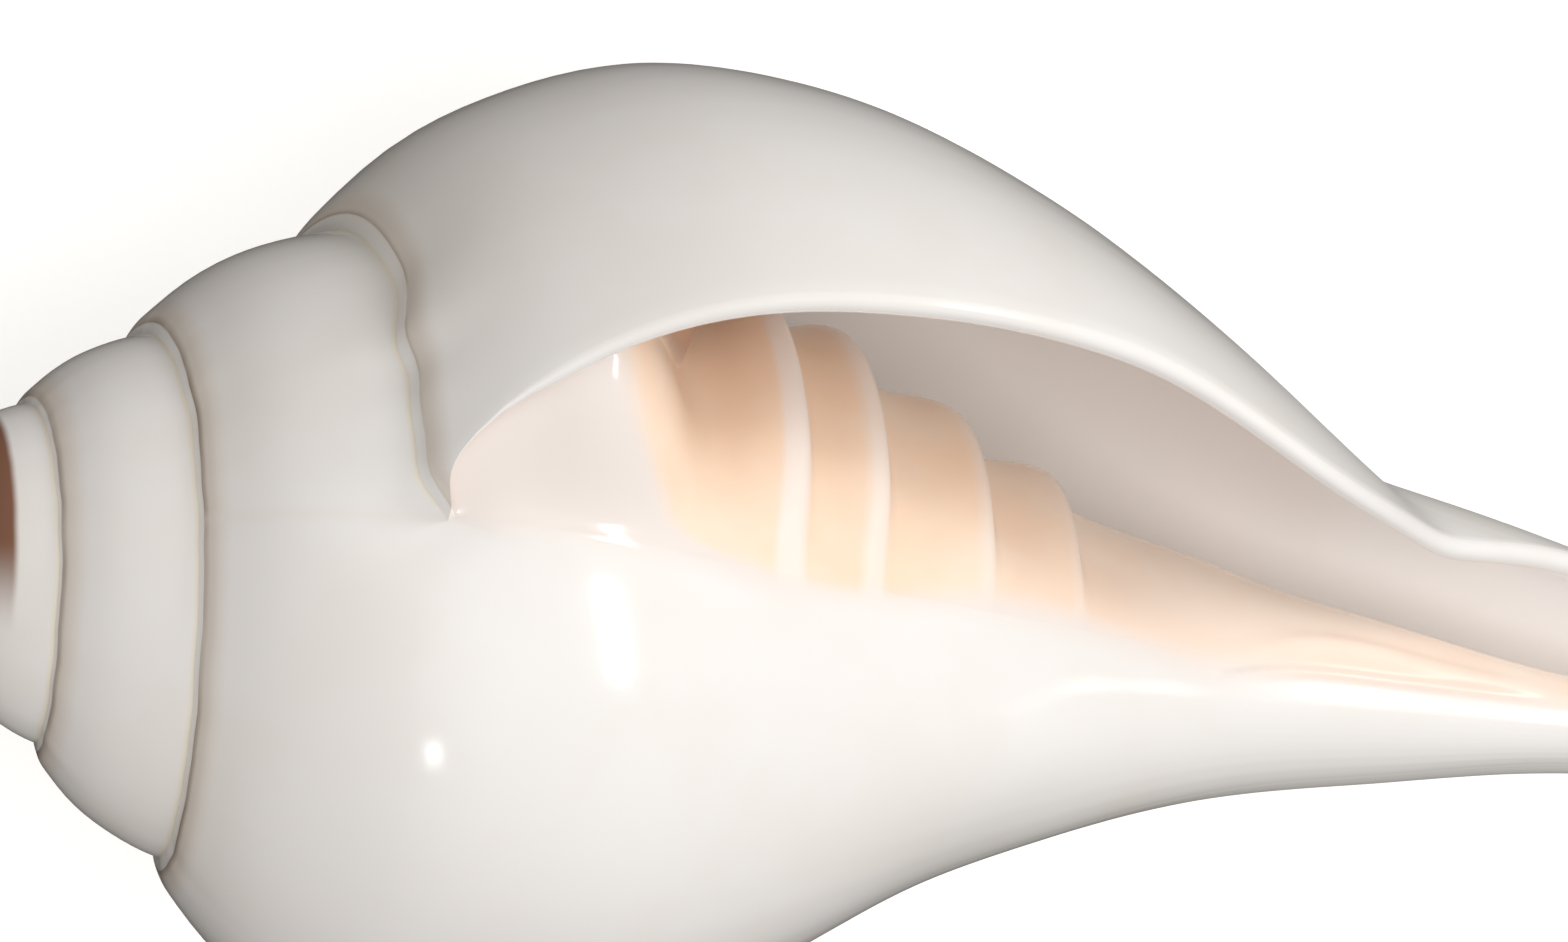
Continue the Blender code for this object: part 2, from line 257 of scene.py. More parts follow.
def whorl_radius(height):
    """The whorl's outline, with the small round riser where it laps over the whorl before it."""
    covered = whorl_curve(SUTURE_HEIGHT * GROWTH) / GROWTH
    riser = whorl_curve(SUTURE_HEIGHT) - covered
    return whorl_curve(height) - riser * (1.0 - pinch(height - SUTURE_HEIGHT, RISER_WIDTH))


# The columella
# The pillar round the axis, which the mouth shows. It carries four spiral folds, each with a
# rounded crest, a steep drop towards the canal and a long slope on its other side. In front of the
# mouth the body whorl runs straight and smooth into it.

COLUMELLA_FULL_ANGLE = 100.0
COLUMELLA_OUTLINE = (
    (58, 28.0), (64, 27.0), (70, 25.2), (78, 21.9), (84, 18.9), (90, 16.2), (96, 13.8),
    (104, 10.8), (113, 8.2), (125, 6.0), (138, 3.8), (150, 3.0), (170, 2.2),
)
FRONT_OUTLINE = (
    (58, 26.0), (64, 24.3), (70, 22.4), (78, 20.0), (84, 18.2), (90, 16.4), (96, 14.1),
    (104, 10.9), (113, 8.2), (125, 6.0), (138, 3.8), (150, 3.0), (170, 2.2),
)
FRONT_FROM_ANGLE = -385.0
FRONT_FROM_OVER = 27.0
FRONT_TO_ANGLE = -248.0
FRONT_TO_OVER = 87.0
FRONT_STEEP_FROM = 87.5
FRONT_STEEPNESS = 0.36
FRONT_FALL_FROM = 120.0
FRONT_FALL = 0.005
# Each fold is the height of its crest, the height where it starts to rise and how far it rises.
FOLDS = ((69.3, 63.0, 2.5), (76.3, 70.7, 2.6), (86.0, 78.6, 2.4), (94.2, 87.8, 1.9))
FOLD_ROWS_MARGIN = 1.0
FOLD_TROUGH = 1.4
FOLD_TROUGH_STARTS_OVER = 6.0
FOLD_TROUGH_ENDS_OVER = 14.0
FOLD_DROP = 1.1
FOLD_FRONT_ANGLE = 4.0
FOLD_FULL_ANGLE = -34.0
FOLD_BAND_WIDTH = 2.4
FOLD_BAND_START_OVER = 0.9
FOLD_BAND_PAST_CREST = 0.7
FOLD_BAND_END_OVER = 0.5
FOLD_BAND_LESS_EACH = 0.2

columella_curve = smooth_curve(COLUMELLA_OUTLINE)
front_curve = smooth_curve(FRONT_OUTLINE)


def columella_scale(angle):
    """The columella keeps its size for the last part of a turn inside the mouth, then shrinks."""
    return growth(np.minimum(np.asarray(angle, float) + TURN + COLUMELLA_FULL_ANGLE, 0.0))


def outer_radius(angle, height):
    """The outside of the wall, which is also the side of the next whorl's mouth."""
    size = growth(angle)
    scale = columella_scale(angle)
    in_front = ease((angle - FRONT_FROM_ANGLE) / FRONT_FROM_OVER)
    in_front = in_front * ease((FRONT_TO_ANGLE - angle) / FRONT_TO_OVER)
    share = height / size
    straight = whorl_radius(np.minimum(share, FRONT_STEEP_FROM))
    straight = straight - FRONT_STEEPNESS * np.maximum(share - FRONT_STEEP_FROM, 0.0)
    straight = straight - FRONT_FALL * np.maximum(share - FRONT_FALL_FROM, 0.0) ** 2
    whorl = whorl_radius(share)
    whorl = size * (whorl + (straight - whorl) * in_front)
    core = scale * columella_curve(height / scale)
    core = core + (front_curve(height) - core) * in_front
    opened = ease((angle - CANAL_START_ANGLE) / (CANAL_FULL_ANGLE - CANAL_START_ANGLE))
    canal = core + (canal_curve(height) - core) * opened
    sink_over = CANAL_SINK_OVER + (CANAL_SINK_OVER_IN_FRONT - CANAL_SINK_OVER) * in_front
    canal = canal - CANAL_SINK * ease((CANAL_TOP * scale - height) / sink_over)
    flared = ease((angle - FLARE_START_ANGLE) / (FLARE_FULL_ANGLE - FLARE_START_ANGLE))
    rounding = SHOULDER_ROUNDING + (SHOULDER_ROUNDING_IN_FRONT - SHOULDER_ROUNDING) * in_front
    return soft_max(whorl, canal, rounding * size) + flare_curve(height) * flared


def fold_strength(angle):
    """The folds rise out of the columella just inside the mouth."""
    return ease((FOLD_FRONT_ANGLE - angle - TURN) / (FOLD_FRONT_ANGLE - FOLD_FULL_ANGLE))


def fold_relief(angle, height):
    """How far the folds rise above the columella's mean surface, or fall below it."""
    scale = columella_scale(angle)
    height = height / scale
    relief = np.zeros_like(height)
    for crest, foot, step in FOLDS:
        rise = ease((height - foot) / (crest - foot))
        drop = ease((height - crest) / FOLD_DROP)
        relief = relief + step * rise * (1.0 - drop)
    zone_start = ease((height - FOLDS[0][1]) / FOLD_TROUGH_STARTS_OVER + 1.0)
    zone_end = ease((height - FOLDS[-1][0] - FOLD_DROP) / FOLD_TROUGH_ENDS_OVER)
    relief = relief - FOLD_TROUGH * zone_start * (1.0 - zone_end)
    return relief * fold_strength(angle) * scale


def fold_crests(angle, height):
    """1 on the pale band along each fold's crest and 0 between the bands."""
    height = height / columella_scale(angle)
    bands = np.zeros_like(height)
    for number, (crest, _, _) in enumerate(FOLDS):
        less = 1.0 - FOLD_BAND_LESS_EACH * number
        start = ease((height - crest + FOLD_BAND_WIDTH * less) / FOLD_BAND_START_OVER)
        end = ease((crest + FOLD_BAND_PAST_CREST - height) / FOLD_BAND_END_OVER)
        bands = np.maximum(bands, start * end * less)
    return bands


# The inner lip
# A thin glaze of callus spreads from the mouth over the whorl before it. Its edge stands a little
# proud, and beside the canal it lifts into a narrow leaf with a crease below it. Its peach layer
# shows on the columella only. Edges are heights along the axis, with degrees round it from the top,
# apart from the top edge of the peach, which is degrees and then heights.

CALLUS_EDGE = (
    (39, 13.4), (44, 11.8), (50, 13.0), (57, 12.2), (61, 11.2), (67, 8.9), (74, 9.7), (82, 12),
    (91, 12), (100, 8), (106, 3), (114, 3), (128, 2), (140, 0),
)
CALLUS_RISE = 0.16
CALLUS_EDGE_WIDTH = 0.5
CALLUS_SHARP_TO = 54.0
CALLUS_GONE_AT = 63.0
LEAF_CREST = (
    (104, 3), (107, 7), (110, 16), (113.5, 28), (118.6, 37), (125, 36), (131, 34), (136, 36),
    (141, 40),
)
LEAF_CREASE = ((104, 2), (107, 4), (114, 13), (123, 17), (132, 22), (141, 27))
LEAF_HEIGHT = 0.3
LEAF_CREST_WIDTH = 0.7
CREASE_DEPTH = 0.35
CREASE_WIDTH = 0.4
LEAF_START = 104.5
LEAF_START_OVER = 7.0
LEAF_END = 139.0
LEAF_END_OVER = 8.0
PEACH_TOP = ((12, 66), (15, 60.5), (20, 57.6), (26, 54.4), (30, 53.0), (40, 52.0))
PEACH_FRONT = (
    (60, 14), (65, 13), (71, 11.7), (77, 12.4), (86, 17), (96, 16.5), (105, 12.8), (113, 13),
    (125, 17), (140, 22),
)
PEACH_TOP_FADE = 2.8
PEACH_FRONT_FADE = 2.6
PEACH_PALER = 0.4
PEACH_PALER_FROM = 80.0
PEACH_PALER_OVER = 26.0

callus_edge_curve = smooth_curve(CALLUS_EDGE)
peach_top_curve = smooth_curve(PEACH_TOP)
peach_front_curve = smooth_curve(PEACH_FRONT)
leaf_crest_curve = smooth_curve(LEAF_CREST)
leaf_crease_curve = smooth_curve(LEAF_CREASE)


def callus_side(angle, height):
    """Millimetres round the shell from the callus's edge, above 0 on the callus itself."""
    turn = LIP_CORNER_ANGLE - angle - TURN
    return np.radians(turn - callus_edge_curve(height)) * outer_radius(angle, height)


def inner_lip_relief(angle, height):
    """The callus's thin edge, and the leaf and its crease beside the canal."""
    fading = 1.0 - ease((height - CALLUS_SHARP_TO) / (CALLUS_GONE_AT - CALLUS_SHARP_TO))
    relief = CALLUS_RISE * ease(0.5 + callus_side(angle, height) / CALLUS_EDGE_WIDTH) * fading
    turn = LIP_CORNER_ANGLE - angle - TURN
    radius = outer_radius(angle, height)
    ends = ease((height - LEAF_START) / LEAF_START_OVER) * ease((LEAF_END - height) / LEAF_END_OVER)
    from_crest = np.radians(turn - leaf_crest_curve(height)) * radius
    from_crease = np.radians(turn - leaf_crease_curve(height)) * radius
    relief = relief + LEAF_HEIGHT * ends * bump(from_crest / LEAF_CREST_WIDTH)
    return relief - CREASE_DEPTH * ends * bump(from_crease / CREASE_WIDTH)


def peach_share(angle, height):
    """1 where the columella shows its peach layer, 0 on the white callus and outside."""
    turn = LIP_CORNER_ANGLE - angle - TURN
    front = np.radians(turn - peach_front_curve(height)) * outer_radius(angle, height)
    from_top = ease((height - peach_top_curve(turn)) / PEACH_TOP_FADE + 0.5)
    paler = 1.0 - PEACH_PALER * ease((height - PEACH_PALER_FROM) / PEACH_PALER_OVER)
    return from_top * ease(front / PEACH_FRONT_FADE + 0.5) * paler


# The mouth
# The opening runs from a callus-filled corner at the suture to the open gutter of the canal. Its
# outer lip has a rounded edge, the wall thickens behind it, and the hollow goes one full turn back.

# Heights along the axis, with degrees round it from the top.
LIP_EDGE = (
    (39.4, 12.6), (40.6, 18.0), (42.5, 23.0), (46, 27.4), (52, 31.4), (60, 33.8), (72, 35.6),
    (86, 37.8), (98, 38.6), (104, 37.4), (110, 37.2), (116, 40.2), (122, 47.0),
    (128, 56.0), (134, 66.0), (140, 75.5), (147, 84.0), (153, 90.0),
)
LIP_LEAN_ANGLE = 150.0
LIP_THICKNESS = 2.0
LIP_CORNER_TAPER = 9.0
WALL_THICKNESS = 4.4
CANAL_WALL_THICKNESS = 2.8
CANAL_WALL_FROM = 95.0
CANAL_WALL_OVER = 35.0
LIP_TAPER_ANGLE = 16.0
CALLUS_FULL_HEIGHT = 50.0
CALLUS_END_HEIGHT = 65.0
CALLUS_BEHIND_LIP_ANGLE = 3.0
CALLUS_BELOW_RIM = 0.35
# Where the hollow's two sides meet: growth angles, with heights at the lip's size.
CORNER_LINE = (
    (-400, 49), (-180, 50), (-120, 54), (-60, 62.5), (-42, 64.0), (-31, 60.5), (-24, 55.2),
    (-19, 50.5), (-15, 46.6), (-11, 43.0), (-7, 40.6), (0, 39.4),
)
CORNER_ROUNDING = 10.0
FLOOR_ROUNDING = 8.0
LEAST_GAP = 1.0
FLOOR_HALVINGS = 30

lip_curve = smooth_curve(LIP_EDGE)
corner_curve = smooth_curve(CORNER_LINE)


def rim_depth(height):
    """The wall's thickness at the lip's edge, which thins to nothing at its upper corner."""
    return LIP_THICKNESS * ease((height - SUTURE_HEIGHT) / LIP_CORNER_TAPER)


def callus_fill(angle, height):
    """How far the callus fills the mouth's upper corner, from 0 to 1."""
    at_lip = np.clip(height / growth(angle), SUTURE_HEIGHT, TIP_HEIGHT)
    fall = (at_lip - CALLUS_FULL_HEIGHT) / (CALLUS_END_HEIGHT - CALLUS_FULL_HEIGHT)
    behind_lip = lip_curve(at_lip) - LIP_CORNER_ANGLE + CALLUS_BEHIND_LIP_ANGLE
    return (1.0 - ease(fall)) * ease(-angle / behind_lip)


def inner_radius(angle, height):
    """The mouth's side towards the axis: callus at its upper end, then the folded columella."""
    before = angle - TURN
    base = outer_radius(before, height) + fold_relief(before, height)
    base = base + inner_lip_relief(before, height)
    at_lip = np.clip(height / growth(angle), SUTURE_HEIGHT, TIP_HEIGHT)
    full = outer_radius(angle, height) - rim_depth(at_lip) - CALLUS_BELOW_RIM
    return base + np.maximum(full - base, 0.0) * callus_fill(angle, height)


def mouth_gap(angle, height, behind_lip=TURN):
    """How far the mouth is open between its two sides, and below 0 where they would cross."""
    thin = ease((height - CANAL_WALL_FROM) / CANAL_WALL_OVER)
    wall = (WALL_THICKNESS + (CANAL_WALL_THICKNESS - WALL_THICKNESS) * thin) * growth(angle)
    wall = LIP_THICKNESS + (wall - LIP_THICKNESS) * ease(behind_lip / LIP_TAPER_ANGLE)
    return outer_radius(angle, height) - wall - inner_radius(angle, height)


def corner_height(angle):
    """Where the mouth's two sides meet at its upper end."""
    return float(corner_curve(angle) * growth(angle))


def floor_height(angle):
    """Where the mouth's two sides meet at its lower end, or the tip where the canal is open."""
    if mouth_gap(angle, np.array(TIP_HEIGHT)) > LEAST_GAP:
        return TIP_HEIGHT
    low = FOLDS[-1][0] * float(columella_scale(angle - TURN))
    high = TIP_HEIGHT
    for _ in range(FLOOR_HALVINGS):
        middle = 0.5 * (low + high)
        if mouth_gap(angle, np.array(middle)) > LEAST_GAP:
            low = middle
        else:
            high = middle
    return low


def leaned(angle, lip_lean):
    """Growth angles down a column: near the lip the columns lean back to the lip's edge."""
    return angle + lip_lean * max(0.0, 1.0 + angle / LIP_LEAN_ANGLE)


# The unrolled wall
# Before it is coiled, the wall is a set of strips: growth angle, height and radius at each point,
# the last two as shares of the shell's size there. Rows crowd at the suture and on the folds.
# Near the mouth the last suture swings a little off its spiral, and the wall follows it.

SPIRE_TURNS = 6.0
SPIRE_ROWS = np.concatenate([
    np.linspace(0.0, 0.09, 8), np.linspace(0.12, 0.94, 12), np.array((0.965, 0.985, 1.0)),
])
COLUMN_ANGLES = np.concatenate([np.arange(0.0, 6.0, 0.5), np.arange(6.0, TURN, 2.0)])
CALLUS_ROWS = 40
FOLD_ROW_SPACING = 0.5
TAIL_ROWS = 44
MOUTH_STEPS = [0.5] * 6 + [1.5] * 38 + [3.0] * 30 + [7.0] * 30
RIM_ANGLES = np.arange(22.5, 180.0, 22.5)
EVEN_ROWS_AT_LIP = 0.75
FAR = 9.0
# Degrees back from the mouth's corner, with how far the suture swings towards the canal.
SUTURE_SWING = (
    (-14, 0.0), (-8, 0.4), (-2, 1.9), (0, 2.1), (2, 1.5), (5, 0.3), (10, 0.0), (17, -0.1),
    (22, 0.1), (27, -0.4), (31, -0.1), (35, 0.4), (42, 1.0), (49, 0.95), (67, 0.8), (90, 0.4),
    (120, 0.0), (130, 0.0),
)
SWING_STARTS_BEFORE = 40.0
SWING_REACH_DOWN = 6.0
SWING_REACH_UP = 4.0
SWING_REACH_OUT = 6.0
SWING_SINK = 0.2
GLAZE_FADE = 3.0
GLAZE_GONE_ANGLE = -60.0
GLAZE_FULL_ANGLE = -300.0
OPEN_FLOOR_STEPS = 12.0
GAP_ROUNDING = 0.8
RIM_INSIDE = 0.6
# Where the hollow's painted shade, which grows with depth, fades out towards the open canal.
HOLLOW_SHADE_FADE_FROM = 84.0
HOLLOW_SHADE_FADE_OVER = 40.0
HOLLOW_SHADE_FADE = 0.9

swing_curve = smooth_curve(SUTURE_SWING)


class Strips:
    """The wall's points with what the finish needs to know at each, and its four-sided faces."""

    def __init__(self):
        self.points = []
        self.notes = []
        self.faces = []
        self.count = 0

    def column(
        self, angle, height, radius, below=FAR, above=FAR, inside=0.0, glaze=0.0, crest=0.0,
        peach=0.0, depth=0.0,
    ):
        """Adds one column of points and returns their numbers."""
        angle, height, radius = np.broadcast_arrays(np.asarray(angle, float), height, radius)
        size = growth(angle)
        self.points.append(np.stack([angle, height / size, radius / size], 1))
        notes = np.broadcast_arrays(below, above, inside, glaze, crest, peach, depth, height)[:-1]
        self.notes.append(np.stack(notes, 1).astype(float))
        first = self.count
        self.count += len(angle)
        return np.arange(first, self.count)

    def skin(self, columns):
        """Faces between neighbouring columns of the same length."""
        for one, other in zip(columns, columns[1:]):
            one, other = np.asarray(one), np.asarray(other)
            self.faces.append(np.stack([one[:-1], one[1:], other[1:], other[:-1]], 1))


def spire_rows(angle):
    """Heights of rows down a whorl, from its own suture to the next one."""
    return SUTURE_HEIGHT * growth(angle) * (1.0 + (GROWTH - 1.0) * SPIRE_ROWS)


def mouth_rows(angle, top, bottom):
    """Heights of rows down the columella, close together over the folds."""
    scale = columella_scale(angle - TURN)
    start = FOLDS[0][1] - FOLD_ROWS_MARGIN
    end = FOLDS[-1][0] + FOLD_DROP + FOLD_ROWS_MARGIN
    first = start * scale
    last = end * scale
    fold_rows = int((end - start) / FOLD_ROW_SPACING)
    above = np.linspace(top, first, CALLUS_ROWS + 1)[:-1]
    folds = np.linspace(first, last, fold_rows)
    below = np.linspace(last, bottom, TAIL_ROWS + 1)[1:]
    return np.concatenate([above, folds, below])


def body_rows(angle):
    """Heights of rows down the body whorl: fold rows under the mouth, and even ones at the lip."""
    top = spire_rows(angle)
    below_mouth = mouth_rows(0.0, SUTURE_HEIGHT, TIP_HEIGHT)
    share = (below_mouth - below_mouth[0]) / (below_mouth[-1] - below_mouth[0])
    even = np.linspace(0.0, 1.0, len(share))
    share = share + (even - share) * EVEN_ROWS_AT_LIP * ease((angle + TURN) / TURN)
    return np.concatenate([top[:-1], top[-1] + (TIP_HEIGHT - top[-1]) * share])


strips = Strips()
suture_row = len(SPIRE_ROWS) - 1
turns_back = math.ceil(SPIRE_TURNS)
whorl_angles = [COLUMN_ANGLES - (turn + 2) * TURN for turn in range(turns_back)]
spire_angles = np.concatenate(whorl_angles[::-1])
spire_angles = spire_angles[spire_angles >= -TURN * (SPIRE_TURNS + 1.0)]
spire_columns = []
for angle in spire_angles:
    heights = spire_rows(angle)
    spire_columns.append(strips.column(
        angle, heights, outer_radius(angle, heights),
        below=heights - heights[0], above=heights[-1] - heights,
    ))

lip_heights = body_rows(0.0)
lip_lean = LIP_CORNER_ANGLE - lip_curve(lip_heights)
body_columns = []
for angle in np.append(COLUMN_ANGLES - TURN, 0.0):
    heights = body_rows(angle)
    angles = leaned(angle, lip_lean)
    radius = outer_radius(angles, heights)
    fresh = ease((angle - GLAZE_GONE_ANGLE) / (GLAZE_FULL_ANGLE - GLAZE_GONE_ANGLE))
    radius = radius + inner_lip_relief(angles, heights) * fresh
    body_columns.append(strips.column(
        angles, heights, radius,
        below=heights - SUTURE_HEIGHT * growth(angles),
        glaze=ease(0.5 + callus_side(angles, heights) / GLAZE_FADE) * fresh,
        peach=peach_share(angles, heights) * fresh,
        crest=fold_crests(angles, heights) * fresh,
    ))
columns_per_turn = len(COLUMN_ANGLES)
every_column = spire_columns + body_columns
for before, after in zip(every_column, every_column[columns_per_turn:]):
    after[0] = before[suture_row]
strips.skin([column[: suture_row + 1] for column in every_column[: len(spire_columns) + 1]])
strips.skin(body_columns)

mouth_angles = -np.concatenate([[0.0], np.cumsum(MOUTH_STEPS)])
floors = [floor_height(angle) for angle in mouth_angles]
closed_from = next(k for k, floor in enumerate(floors) if floor < TIP_HEIGHT)
lip_share = (lip_heights - lip_heights[0]) / (lip_heights[-1] - lip_heights[0])
columella_columns = [body_columns[0][suture_row:]]
wall_columns = []
for k, angle in enumerate(mouth_angles):
    top = corner_height(angle)
    if k > 0:
        rows = mouth_rows(angle, top, floors[k])
        columella_columns.append(strips.column(
            angle, rows, inner_radius(angle, rows),
            below=rows - top, glaze=1.0, crest=fold_crests(angle - TURN, rows),
            peach=peach_share(angle - TURN, rows), depth=-angle,
        ))
    rows = top + (floors[k] - top) * lip_share
    leaning = leaned(angle, lip_lean)
    inside_radius = inner_radius(leaning, rows)
    open_floor = ease((closed_from - k) / OPEN_FLOOR_STEPS)
    floor_pinch = pinch(floors[k] - rows, FLOOR_ROUNDING)
    opening = pinch(rows - top, CORNER_ROUNDING) * (floor_pinch + (1.0 - floor_pinch) * open_floor)
    radius = inside_radius + soft_max(mouth_gap(leaning, rows, -angle), 0.0, GAP_ROUNDING) * opening
    if k == 0:
        radius = outer_radius(leaning, rows) - rim_depth(rows)
    # The hollow's painted shade grows with depth and fades out lower down, towards the open canal.
    paler = HOLLOW_SHADE_FADE * ease((rows - HOLLOW_SHADE_FADE_FROM) / HOLLOW_SHADE_FADE_OVER)
    column = strips.column(
        leaning, rows, radius, below=rows - top if k else FAR, inside=1.0 if k else RIM_INSIDE,
        depth=-angle * (1.0 - paler),
    )
    column[0] = columella_columns[k][0]
    if k >= closed_from:
        column[-1] = columella_columns[k][-1]
    wall_columns.append(column)
strips.skin(columella_columns)
strips.skin(wall_columns)

lip_angles = LIP_CORNER_ANGLE - lip_curve(lip_heights)
lip_radius = outer_radius(lip_angles, lip_heights)
lip_depth = rim_depth(lip_heights)
rim_columns = [body_columns[-1]]
for rim_angle in np.radians(RIM_ANGLES):
    forward = 0.5 * lip_depth * math.sin(rim_angle)
    down = 0.5 * lip_depth * (1.0 - math.cos(rim_angle))
    column = strips.column(
        lip_angles + np.degrees(forward / lip_radius), lip_heights, lip_radius - down,
        inside=RIM_INSIDE * rim_angle / math.pi,
    )
    column[0] = body_columns[-1][0]
    rim_columns.append(column)
rim_columns.append(wall_columns[0])
strips.skin(rim_columns)

points = np.concatenate(strips.points)
point_size = growth(points[:, 0])
past_corner = np.mod(180.0 - points[:, 0], TURN) - 180.0
older = past_corner < -SWING_STARTS_BEFORE
round_whorl = np.where(older, past_corner + TURN, past_corner)
suture_size = growth(-round_whorl)
past_suture = points[:, 1] * point_size - SUTURE_HEIGHT * suture_size
off_suture = points[:, 2] * point_size - outer_radius(-round_whorl, SUTURE_HEIGHT * suture_size)
reach = np.where(past_suture > 0.0, SWING_REACH_DOWN, SWING_REACH_UP)
swing = swing_curve(round_whorl) * bump(past_suture / reach) * bump(off_suture / SWING_REACH_OUT)
points[:, 1] += swing / point_size
points[:, 2] -= SWING_SINK * swing / point_size

NOTES = ("below_suture", "above_suture", "inside", "glaze", "fold_crest", "peach", "depth")
faces = np.concatenate(strips.faces)
distinct = [[n for i, n in enumerate(face) if n != face[i - 1]] for face in faces.tolist()]
wall_mesh = bpy.data.meshes.new("unrolled_wall")
wall_mesh.from_pydata(points.tolist(), [], [f for f in distinct if len(f) > 2])
notes = np.concatenate(strips.notes)
for column, note in enumerate(NOTES):
    attribute = wall_mesh.attributes.new(note, "FLOAT", "POINT")
    attribute.data.foreach_set("value", np.ascontiguousarray(notes[:, column], np.float32))


# The coil
# Growth turns the strips into the shell: each point is set round the axis by its angle, grown by
# its size there, and tipped so that the canal drops to the table. The suture wavers a little off
# its spiral and faint growth lines cross the outside, but the mouth and its glaze stay smooth.

CANAL_DROP_ANGLE = 19.6
SUTURE_WAVER = 0.28
WAVER_SPACING = 17.0
WAVER_FULL_ANGLE = -150.0
WAVER_GONE_ANGLE = -100.0
WAVER_REACH = 5.0
GROWTH_LINE_DEPTH = 0.035
GROWTH_LINE_SPACING = 3.2
SEED = 4
COIL_SIZES = {
    "Growth per turn": GROWTH,
    "Lip corner angle": LIP_CORNER_ANGLE,
    "Canal drop angle": CANAL_DROP_ANGLE,
    "Suture waver": SUTURE_WAVER,
    "Waver spacing": WAVER_SPACING,
    "Growth line depth": GROWTH_LINE_DEPTH,
    "Growth line spacing": GROWTH_LINE_SPACING,
    "Seed": float(SEED),
}
MATHS = "ShaderNodeMath"
FADE = "ShaderNodeMapRange"


def add_node(tree, kind, inputs=None, **settings):
    """Adds a node and returns its outputs. Each input is a socket to link or a plain value."""
    node = tree.nodes.new(kind)
    for name, value in settings.items():
        setattr(node, name, value)
    for name, value in (inputs or {}).items():
        if isinstance(value, bpy.types.NodeSocket):
            tree.links.new(value, node.inputs[name])
        else:
            node.inputs[name].default_value = value
    return node.outputs


coil = bpy.data.node_groups.new("coil_the_wall", "GeometryNodeTree")
coil.interface.new_socket("Wall", in_out="INPUT", socket_type="NodeSocketGeometry")
for name in COIL_SIZES:
    coil.interface.new_socket(name, in_out="INPUT", socket_type="NodeSocketFloat")
coil.interface.new_socket("Finish", in_out="INPUT", socket_type="NodeSocketMaterial")
coil.interface.new_socket("Shell", in_out="OUTPUT", socket_type="NodeSocketGeometry")
given = add_node(coil, "NodeGroupInput")
unrolled = add_node(coil, "GeometryNodeInputPosition")[0]
angle_at, height_share, radius_share = add_node(coil, "ShaderNodeSeparateXYZ", {0: unrolled})
noted = {}
for note in ("below_suture", "above_suture", "inside", "glaze"):
    noted[note] = add_node(
        coil, "GeometryNodeInputNamedAttribute", {"Name": note}, data_type="FLOAT")[0]
covered = add_node(coil, MATHS, {0: noted["inside"], 1: noted["glaze"]}, operation="MAXIMUM")[0]
outside_only = add_node(coil, MATHS, {0: 1.0, 1: covered}, operation="SUBTRACT")[0]

for note, angle_on, larger in (
    ("below_suture", 0.0, 1.0),
    ("above_suture", TURN, given["Growth per turn"]),
):
    suture_angle = add_node(coil, MATHS, {0: angle_at, 1: angle_on}, operation="ADD")[0]
    along = add_node(
        coil, MATHS, {0: suture_angle, 1: given["Waver spacing"]}, operation="DIVIDE")[0]
    along = add_node(coil, MATHS, {0: along, 1: given["Seed"]}, operation="ADD")[0]
    noise = add_node(
        coil, "ShaderNodeTexNoise", {"W": along, "Scale": 1.0, "Detail": 1.5},
        noise_dimensions="1D")[0]
    waver = add_node(coil, MATHS, {0: noise, 1: 2.0, 2: -1.0}, operation="MULTIPLY_ADD")[0]
    away_from_mouth = add_node(
        coil, FADE,
        {"Value": suture_angle, "From Min": WAVER_FULL_ANGLE, "From Max": WAVER_GONE_ANGLE,
         "To Min": 1.0, "To Max": 0.0},
        interpolation_type="SMOOTHSTEP")[0]
    near_suture = add_node(
        coil, FADE,
        {"Value": noted[note], "From Max": WAVER_REACH, "To Min": 1.0, "To Max": 0.0},
        interpolation_type="SMOOTHSTEP")[0]
    for part in (given["Suture waver"], away_from_mouth, near_suture, outside_only, larger):
        waver = add_node(coil, MATHS, {0: waver, 1: part}, operation="MULTIPLY")[0]
    height_share = add_node(coil, MATHS, {0: height_share, 1: waver}, operation="ADD")[0]

along = add_node(coil, MATHS, {0: angle_at, 1: given["Growth line spacing"]}, operation="DIVIDE")[0]
along = add_node(coil, MATHS, {0: along, 1: given["Seed"]}, operation="ADD")[0]
noise = add_node(
    coil, "ShaderNodeTexNoise", {"W": along, "Scale": 1.0, "Detail": 2.0}, noise_dimensions="1D")[0]
lines = add_node(coil, MATHS, {0: noise, 1: 2.0, 2: -1.0}, operation="MULTIPLY_ADD")[0]
for part in (given["Growth line depth"], outside_only):
    lines = add_node(coil, MATHS, {0: lines, 1: part}, operation="MULTIPLY")[0]
radius_share = add_node(coil, MATHS, {0: radius_share, 1: lines}, operation="ADD")[0]
radius_share = add_node(coil, MATHS, {0: radius_share, 1: 0.0}, operation="MAXIMUM")[0]

# Each step names its result, then its operation and what goes in: a size, an earlier result or
# a number.
COILING = (
    ("turns", "DIVIDE", "angle", TURN),
    ("size", "POWER", "Growth per turn", "turns"),
    ("height", "MULTIPLY", "height share", "size"),
    ("radius", "MULTIPLY", "radius share", "size"),
    ("past corner", "SUBTRACT", "Lip corner angle", "angle"),
    ("turned", "RADIANS", "past corner"),
    ("turned cosine", "COSINE", "turned"),
    ("turned sine", "SINE", "turned"),
    ("to front", "MULTIPLY", "radius", "turned cosine"),
    ("to side", "MULTIPLY", "radius", "turned sine"),
    ("drop", "RADIANS", "Canal drop angle"),
    ("drop cosine", "COSINE", "drop"),
    ("drop sine", "SINE", "drop"),
    ("height along", "MULTIPLY", "height", "drop cosine"),
    ("front along", "MULTIPLY", "to front", "drop sine"),
    ("along table", "ADD", "height along", "front along"),
    ("front up", "MULTIPLY", "to front", "drop cosine"),
    ("height down", "MULTIPLY", "height", "drop sine"),
    ("above table", "SUBTRACT", "front up", "height down"),
)
worked = {name: given[name] for name in COIL_SIZES}
worked["angle"] = angle_at
worked["height share"] = height_share
worked["radius share"] = radius_share
